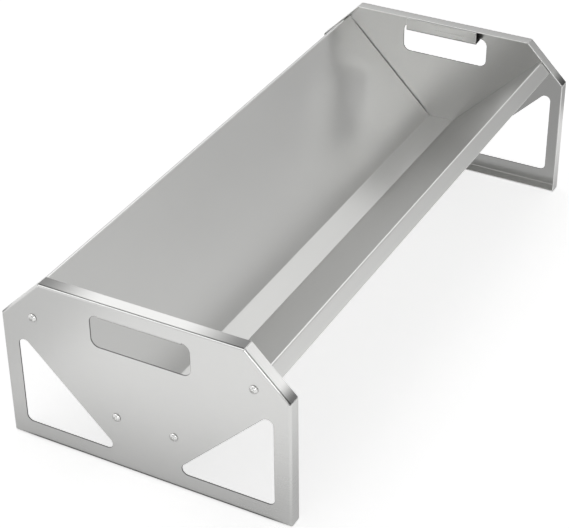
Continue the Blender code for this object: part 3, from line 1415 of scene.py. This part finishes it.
                # Each bolt was tightened to an angle of its own.
                angle = math.radians(self.place_turn * number + self.end_turn * end)
                turn = Matrix.Rotation(angle, 4, "Z")
                for kind, master in masters.items():
                    seat = Matrix.Translation((end * self.seats()[kind], place.y, place.z))
                    copy = master.copied(f"{end_name}_{spot}_{kind.value}", seat @ outward @ turn)
                    copy.install(f"{kind.value}_{end_name}_{spot}", f"{kind.value}_steel")
        for master in masters.values():
            master.scrap()


@dataclass(frozen=True)
class Glow:
    """A soft-edged sheet of light or shade, which only shows as a reflection in the steel."""

    name: str
    tone: float
    # The part of its length and of its width over which each edge fades.
    feather: float = field(default=0.25, kw_only=True)

    def material(self) -> bpy.types.Material:
        """Make the sheet's material: an even glow that fades away at the edges.

        Returns:
            The material.
        """
        material = bpy.data.materials.new(self.name)
        graph = Graph(material)
        place = graph.add("ShaderNodeTexCoord", {}).outputs["UV"]
        parts = graph.add("ShaderNodeSeparateXYZ", {"Vector": place}).outputs
        inside = []
        for axis in ("X", "Y"):
            from_middle = graph.maths("ABSOLUTE", graph.maths("SUBTRACT", parts[axis], 0.5))
            inside.append(graph.ramp(from_middle, 0.5, 0.5 - self.feather))
        cover = graph.maths("MULTIPLY", inside[0], inside[1])
        clear = graph.add("ShaderNodeBsdfTransparent", {}).outputs["BSDF"]
        glow = graph.add("ShaderNodeEmission", {"Strength": self.tone}).outputs["Emission"]
        mix = graph.add("ShaderNodeMixShader", {0: cover, 1: clear, 2: glow})
        graph.add("ShaderNodeOutputMaterial", {"Surface": mix.outputs["Shader"]})
        return material

    def place(self, matrix: Matrix) -> None:
        """Put the sheet in the studio.

        Args:
            matrix: What turns a unit square into the sheet.
        """
        bpy.ops.mesh.primitive_plane_add(size=1)
        sheet = bpy.context.active_object
        sheet.name = self.name
        sheet.matrix_world = matrix
        sheet.visible_camera = False
        sheet.visible_diffuse = False
        sheet.visible_transmission = False
        sheet.visible_shadow = False
        sheet.data.materials.append(self.material())


@dataclass(frozen=True)
class Panel(Glow):
    """A panel that hangs around the trough.

    Its place is a direction from the origin and its size is an angle, all in degrees.
    """

    azimuth: float
    elevation: float
    width: float
    height: float
    distance: float = 8.0

    def hang(self) -> None:
        """Hang the panel, facing the origin."""
        toward = direction(self.azimuth, self.elevation)
        width, height = (
            2 * self.distance * math.tan(math.radians(angle / 2))
            for angle in (self.width, self.height)
        )
        turn = toward.to_track_quat("Z", "Y").to_matrix().to_4x4()
        size = Matrix.Diagonal((width, height, 1, 1))
        self.place(Matrix.Translation(toward * self.distance) @ turn @ size)


@dataclass(frozen=True)
class PaintedShadow(Glow):
    """A painted shadow on the floor: a dark sheet that only shows as a reflection, with its middle
    at (x, y).
    """

    x: float
    y: float
    length: float
    width: float

    def lay(self, level: float) -> None:
        """Lay the painted shadow at a level between the floor and the feet of the plates.

        Args:
            level: Its Z, which no other painted shadow shares.
        """
        size = Matrix.Diagonal((self.length, self.width, 1, 1))
        self.place(Matrix.Translation((self.x, self.y, level)) @ size)


@dataclass
class Studio:
    """The pale floor, the soft lamp, the white surroundings and the camera."""

    # The camera looks this way and this far down, in degrees, with its focal length in pixels.
    azimuth: float = -151.454
    elevation: float = 33.606
    roll: float = -0.656
    focal_pixels: float = 1717.2
    eye: tuple[float, float, float] = (-1.6029, -0.8305, 1.2484)
    sensor: float = 36.0
    view_range: tuple[float, float] = (0.05, 100.0)
    floor_size: float = 30.0
    floor_level: float = -0.0005
    # What is added to the floor for the eye, so that it is white, and its own colour.
    floor_glow: float = 0.60
    floor_tone: float = 0.80
    ambient: float = 0.48
    key_place: tuple[float, float, float] = (0.3, 0.6, 2.6)
    key_aim: tuple[float, float, float] = (0.0, 0.0, 0.1)
    key_size: float = 1.8
    key_power: float = 8.0

    def camera(self) -> None:
        """Place the camera where the photograph was taken from."""
        data = bpy.data.cameras.new("camera")
        data.sensor_width = self.sensor
        data.lens = self.focal_pixels / PICTURE_WIDTH * self.sensor
        data.clip_start, data.clip_end = self.view_range
        sight = -direction(self.azimuth, self.elevation)
        turn = sight.to_track_quat("-Z", "Y").to_matrix().to_4x4()
        turn = turn @ Matrix.Rotation(math.radians(self.roll), 4, "Z")
        camera = bpy.data.objects.new("camera", data)
        camera.matrix_world = Matrix.Translation(self.eye) @ turn
        bpy.context.scene.collection.objects.link(camera)
        bpy.context.scene.camera = camera

    def seen(self, graph: Graph) -> bpy.types.NodeSocket:
        """Give 1 for a ray that shows a surface to the eye, straight or by reflection.

        Args:
            graph: The node tree it is for.

        Returns:
            The value.
        """
        path = graph.add("ShaderNodeLightPath", {}).outputs
        either = graph.maths("MAXIMUM", path["Is Camera Ray"], path["Is Glossy Ray"])
        return graph.maths("MAXIMUM", either, path["Is Transmission Ray"])

    def floor(self) -> None:
        """Lay a pale floor that keeps the trough's shadow."""
        bpy.ops.mesh.primitive_plane_add(size=self.floor_size, location=(0, 0, self.floor_level))
        floor = bpy.context.active_object
        floor.name = "floor"
        material = bpy.data.materials.new("pale_floor")
        graph = Graph(material)
        tone = (self.floor_tone,) * 3 + (1.0,)
        matt = graph.add("ShaderNodeBsdfDiffuse", {"Color": tone}).outputs["BSDF"]
        strength = graph.maths("MULTIPLY", self.seen(graph), self.floor_glow)
        glow = graph.add("ShaderNodeEmission", {"Strength": strength}).outputs["Emission"]
        both = graph.add("ShaderNodeAddShader", {0: matt, 1: glow}).outputs["Shader"]
        graph.add("ShaderNodeOutputMaterial", {"Surface": both})
        floor.data.materials.append(material)

    def surroundings(self) -> None:
        """Make the world: white to the eye, softer as light."""
        world = bpy.data.worlds.new("studio")
        bpy.context.scene.world = world
        graph = Graph(world)
        soft, white = (
            graph.add("ShaderNodeBackground", {"Color": WHITE, "Strength": strength})
            for strength in (self.ambient, 1.0)
        )
        mix = graph.add(
            "ShaderNodeMixShader",
            {0: self.seen(graph), 1: soft.outputs["Background"], 2: white.outputs["Background"]},
        )
        graph.add("ShaderNodeOutputWorld", {"Surface": mix.outputs["Shader"]})

    def lamp(self) -> None:
        """Hang a square soft box over the trough, for the shadow on the floor."""
        data = bpy.data.lights.new("key", "AREA")
        data.size = self.key_size
        data.energy = self.key_power
        lamp = bpy.data.objects.new("key", data)
        lamp.visible_glossy = False
        toward = Vector(self.key_aim) - Vector(self.key_place)
        turn = toward.to_track_quat("-Z", "Y").to_matrix().to_4x4()
        lamp.matrix_world = Matrix.Translation(self.key_place) @ turn
        bpy.context.scene.collection.objects.link(lamp)

    def build(self) -> None:
        """Set up the whole studio."""
        self.camera()
        self.floor()
        self.surroundings()
        for panel in PANELS:
            panel.hang()
        for number, painted_shadow in enumerate(PAINTED_SHADOWS, start=1):
            painted_shadow.lay(self.floor_level * (1 - number / (len(PAINTED_SHADOWS) + 1)))
        self.lamp()
        bpy.context.scene.view_settings.view_transform = "Standard"


# What the steel mirrors. Large dim panels come first, and then small bright windows. Where two
# lie over each other, each shows by its own cover.
PANELS = (
    Panel("ceiling", 0.40, 0, 90, 60, 60),
    Panel("front_band", 0.28, -34, 28, 30, 14),
    Panel("front_flag", 0.08, -95, 40, 46, 34),
    Panel("back_flag", 0.08, 84, 62, 60, 28),
    Panel("left_flag", 0.20, 162, 28, 30, 22),
    Panel("left_dark", 0.15, -152, 21, 44, 36),
    Panel("slot_window", 1.20, -24, 26, 9, 8, 7.5),
    Panel("front_low", 0.25, -32, 13, 28, 14),
    Panel("end_low", 0.07, 8, 11.5, 80, 36),
    Panel("back_window", 1.70, 38, 37, 32, 20, 7.5),
    Panel("back_high_window", 2.00, 140, 49, 40, 30, 7.5),
    Panel("front_window", 2.30, -43, 21, 16, 14, 7.5),
    Panel("left_window", 8.50, -148, 20, 26, 8, 7.5),
)
# Painted shadows of the trough on the floor, which the steel mirrors; the floor would be white
# without them.
PAINTED_SHADOWS = (
    PaintedShadow("middle_painted_shadow", 0.45, 0.00, 0.08, 1.20, 0.85),
    PaintedShadow("left_painted_shadow", 0.72, -0.60, 0.38, 0.50, 0.40),
    PaintedShadow("right_painted_shadow", 0.40, 0.70, -0.28, 0.24, 0.24),
    PaintedShadow("left_foot_mat", 0.02, -0.3935, 0.00, 0.016, 0.365, feather=0.1),
)
# The plates' steel has painted shade at the ends of the top flange and the lower ends of the
# clipped flanges.
SATIN_PLATE = PaintedShadeFinish("satin_plate", (0.68, 0.68, 0.67), 0.29, 2.5, 1200, 0.0000002, 0.0004)
# The right plate is the same steel with a darker tint as painted shade, and no painted shade at its
# top flange's ends.
SHADED_FAR_PLATE = replace(SATIN_PLATE, name="satin_plate_right", tint=(0.62, 0.62, 0.61), top_shade=0.0)
SATIN_BODY = Finish("satin_body", (0.58, 0.58, 0.57), 0.34, 2.5, 1200, 0.0000001, 0.0004)
# Lighter than the faces: partly wear of the cut edge, partly a painted highlight.
CUT_EDGE_AND_HIGHLIGHT = Finish("cut_edge", (0.90, 0.90, 0.89), 0.35, 400, 900, 0.000003)
# Near white: a rough sheared edge, lightened further as a painted highlight.
SHEARED_EDGE_AND_HIGHLIGHT = Finish("sheared_edge", (0.98, 0.98, 0.97), 0.75, 900, 400, 0.000004)
BURNED_EDGE = Finish("burned_edge", (0.20, 0.20, 0.20), 0.45, 900, 400, 0.000003)
PLATE_FINISHES = {
    Surface.FACE: SATIN_PLATE,
    Surface.EASED: CUT_EDGE_AND_HIGHLIGHT,
    Surface.FREE_EDGE: SHEARED_EDGE_AND_HIGHLIGHT,
    Surface.CUT_WALL: BURNED_EDGE,
}
TURNED = {
    Kind.BOLT: Finish("bolt_steel", (0.74, 0.74, 0.73), 0.20, 1500, 120, 0.000002),
    Kind.WASHER: Finish("washer_steel", (0.62, 0.62, 0.61), 0.32, 1200, 150, 0.000002),
    Kind.NUT: Finish("nut_steel", (0.57, 0.57, 0.56), 0.30, 1500, 120, 0.000002),
}


def main() -> None:
    """Build the trough's pieces in order, dress them and set up the studio."""
    logging.basicConfig(level=logging.INFO, format="%(message)s")
    layout = Layout()

    plates = EndPlate(layout)
    left = plates.build()
    plates.dress(left, PLATE_FINISHES)
    right = left.copied("right_end_plate", Matrix.Rotation(math.pi, 4, "Z"))
    # Its edges keep the finishes that were copied with it, and its face takes a darker tint as
    # painted shade.
    right.dress([SHADED_FAR_PLATE.made()])
    left.install("end_plate_left", "plate_steel")
    right.install("end_plate_right", "plate_steel")

    trough = TroughBody(layout)
    body = trough.build()
    trough.dress(body, SATIN_BODY, CUT_EDGE_AND_HIGHLIGHT)
    body.install("trough_body", "body_steel")

    Fastener(layout).build(TURNED)
    Studio().build()


if __name__ == "__main__":
    main()
